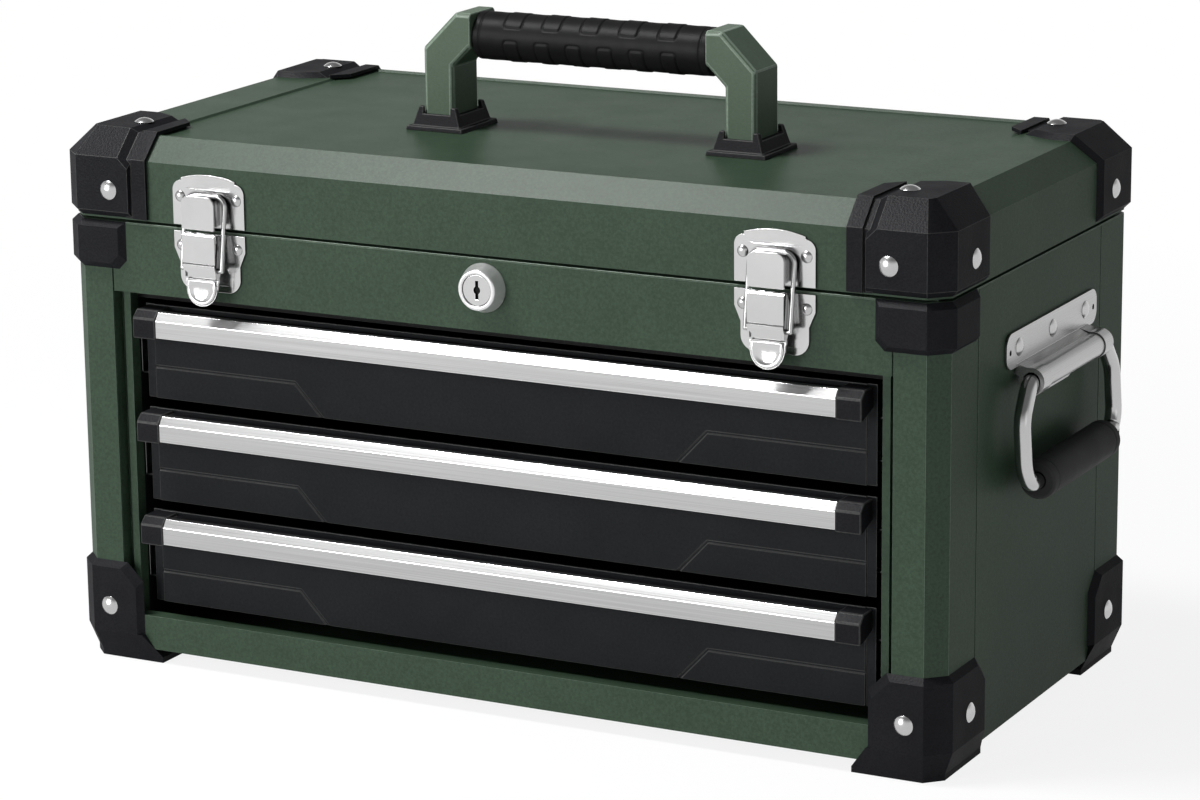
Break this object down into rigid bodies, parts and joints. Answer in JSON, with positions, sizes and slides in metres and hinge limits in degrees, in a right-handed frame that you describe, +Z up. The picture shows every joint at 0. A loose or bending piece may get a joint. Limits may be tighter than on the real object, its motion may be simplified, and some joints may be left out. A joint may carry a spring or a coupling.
{
  "type": "portable tool box with drawers",
  "caption": "Steel carry tool box with drawers on slides, a hinged lid over a tray, plastic corner guards, toggle latches, a cam lock and top and side handles.",
  "frame": {"origin": "on the floor, under the middle of the steel cabinet", "axes": "+X to the right-hand side seen from the front, -Y out of the drawer fronts, +Z up"},
  "size_m": [0.566, 0.2793, 0.3617],
  "materials": {
    "green_paint": "satin dark green powder coat",
    "black_plastic": "matt moulded black plastic",
    "black_steel": "black satin paint",
    "drawer_black": "black satin powder coat on the drawer fronts",
    "chrome": "bright nickel and chrome plate",
    "satin_nickel": "satin nickel domes",
    "stainless": "satin stainless steel",
    "zinc_steel": "zinc plate",
    "aluminium_strip": "brushed anodised aluminium",
    "rubber": "matt black rubber"
  },
  "bodies": {
    "cabinet": {"cabinet_shell": "green_paint", "corner_post_front_left": "green_paint", "corner_post_front_right": "green_paint", "corner_posts_rear": "green_paint", "upper_front_rail": "green_paint", "drawer_frame": "black_steel", "top_tray": "green_paint", "slide_channels": "zinc_steel", "seam_caps": "black_plastic", "foot_corner_front_left": "black_plastic", "foot_corner_front_right": "black_plastic", "foot_corner_rear_left": "black_plastic", "foot_corner_rear_right": "black_plastic", "cabinet_rivets": "satin_nickel", "latch_base_left": "chrome", "latch_base_right": "chrome", "lock_housing": "chrome", "hinge_base_leaf": "zinc_steel", "hinge_pin": "zinc_steel", "side_handle_mount_left": "stainless", "side_handle_mount_right": "stainless"},
    "lid": {"lid_shell": "green_paint", "lid_corner_front_left": "black_plastic", "lid_corner_front_right": "black_plastic", "lid_corner_rear_left": "black_plastic", "lid_corner_rear_right": "black_plastic", "lid_rivets": "satin_nickel", "latch_catch_left": "chrome", "latch_catch_right": "chrome", "hinge_lid_leaf": "zinc_steel", "lock_strike": "zinc_steel", "top_handle_frame": "green_paint", "top_handle_shoes": "black_plastic", "top_handle_grip": "rubber", "top_handle_bolts": "zinc_steel"},
    "drawer_top": {"drawer_box_top": "black_steel", "drawer_front_top": "drawer_black", "pull_rail_top": "black_plastic", "pull_strip_top": "aluminium_strip", "drawer_slides_top": "zinc_steel"},
    "drawer_middle": {"drawer_box_middle": "black_steel", "drawer_front_middle": "drawer_black", "pull_rail_middle": "black_plastic", "pull_strip_middle": "aluminium_strip", "drawer_slides_middle": "zinc_steel"},
    "drawer_bottom": {"drawer_box_bottom": "black_steel", "drawer_front_bottom": "drawer_black", "pull_rail_bottom": "black_plastic", "pull_strip_bottom": "aluminium_strip", "drawer_slides_bottom": "zinc_steel"},
    "lever_left": {"latch_lever_left": "chrome"},
    "loop_left": {"latch_loop_left": "chrome"},
    "bail_left": {"side_bail_left": "chrome", "side_grip_left": "rubber"},
    "lever_right": {"latch_lever_right": "chrome"},
    "loop_right": {"latch_loop_right": "chrome"},
    "bail_right": {"side_bail_right": "chrome", "side_grip_right": "rubber"},
    "lock": {"lock_plug": "chrome", "lock_cam": "zinc_steel"}
  },
  "joints": [
    {"name": "lid_hinge", "type": "hinge", "parent": "cabinet", "child": "lid", "pos_m": [0, 0.1332, 0.25135], "axis": [-1, 0, 0], "range_deg": [0, 100]},
    {"name": "drawer_top_slide", "type": "slide", "parent": "cabinet", "child": "drawer_top", "axis": [0, -1, 0], "range_m": [0, 0.15]},
    {"name": "drawer_middle_slide", "type": "slide", "parent": "cabinet", "child": "drawer_middle", "axis": [0, -1, 0], "range_m": [0, 0.15]},
    {"name": "drawer_bottom_slide", "type": "slide", "parent": "cabinet", "child": "drawer_bottom", "axis": [0, -1, 0], "range_m": [0, 0.15]},
    {"name": "latch_left_lever", "type": "hinge", "parent": "cabinet", "child": "lever_left", "pos_m": [-0.168, -0.1389, 0.24695], "axis": [-1, 0, 0], "range_deg": [0, 100]},
    {"name": "latch_left_loop", "type": "hinge", "parent": "lever_left", "child": "loop_left", "pos_m": [-0.168, -0.1392, 0.23095], "axis": [-1, 0, 0], "range_deg": [-92, 0]},
    {"name": "side_handle_left", "type": "hinge", "parent": "cabinet", "child": "bail_left", "pos_m": [-0.2695, 0.013, 0.192], "axis": [0, 1, 0], "range_deg": [0, 88]},
    {"name": "latch_right_lever", "type": "hinge", "parent": "cabinet", "child": "lever_right", "pos_m": [0.168, -0.1389, 0.24695], "axis": [-1, 0, 0], "range_deg": [0, 100]},
    {"name": "latch_right_loop", "type": "hinge", "parent": "lever_right", "child": "loop_right", "pos_m": [0.168, -0.1392, 0.23095], "axis": [-1, 0, 0], "range_deg": [-92, 0]},
    {"name": "side_handle_right", "type": "hinge", "parent": "cabinet", "child": "bail_right", "pos_m": [0.2695, 0.013, 0.192], "axis": [0, -1, 0], "range_deg": [0, 88]},
    {"name": "lock_turn", "type": "hinge", "parent": "cabinet", "child": "lock", "pos_m": [0, -0.138, 0.235], "axis": [0, 1, 0], "range_deg": [0, 90]}
  ],
  "couplings": [
    {"joint": "latch_left_loop", "follows": "latch_left_lever", "ratio": -0.92},
    {"joint": "latch_right_loop", "follows": "latch_right_lever", "ratio": -0.92}
  ]
}
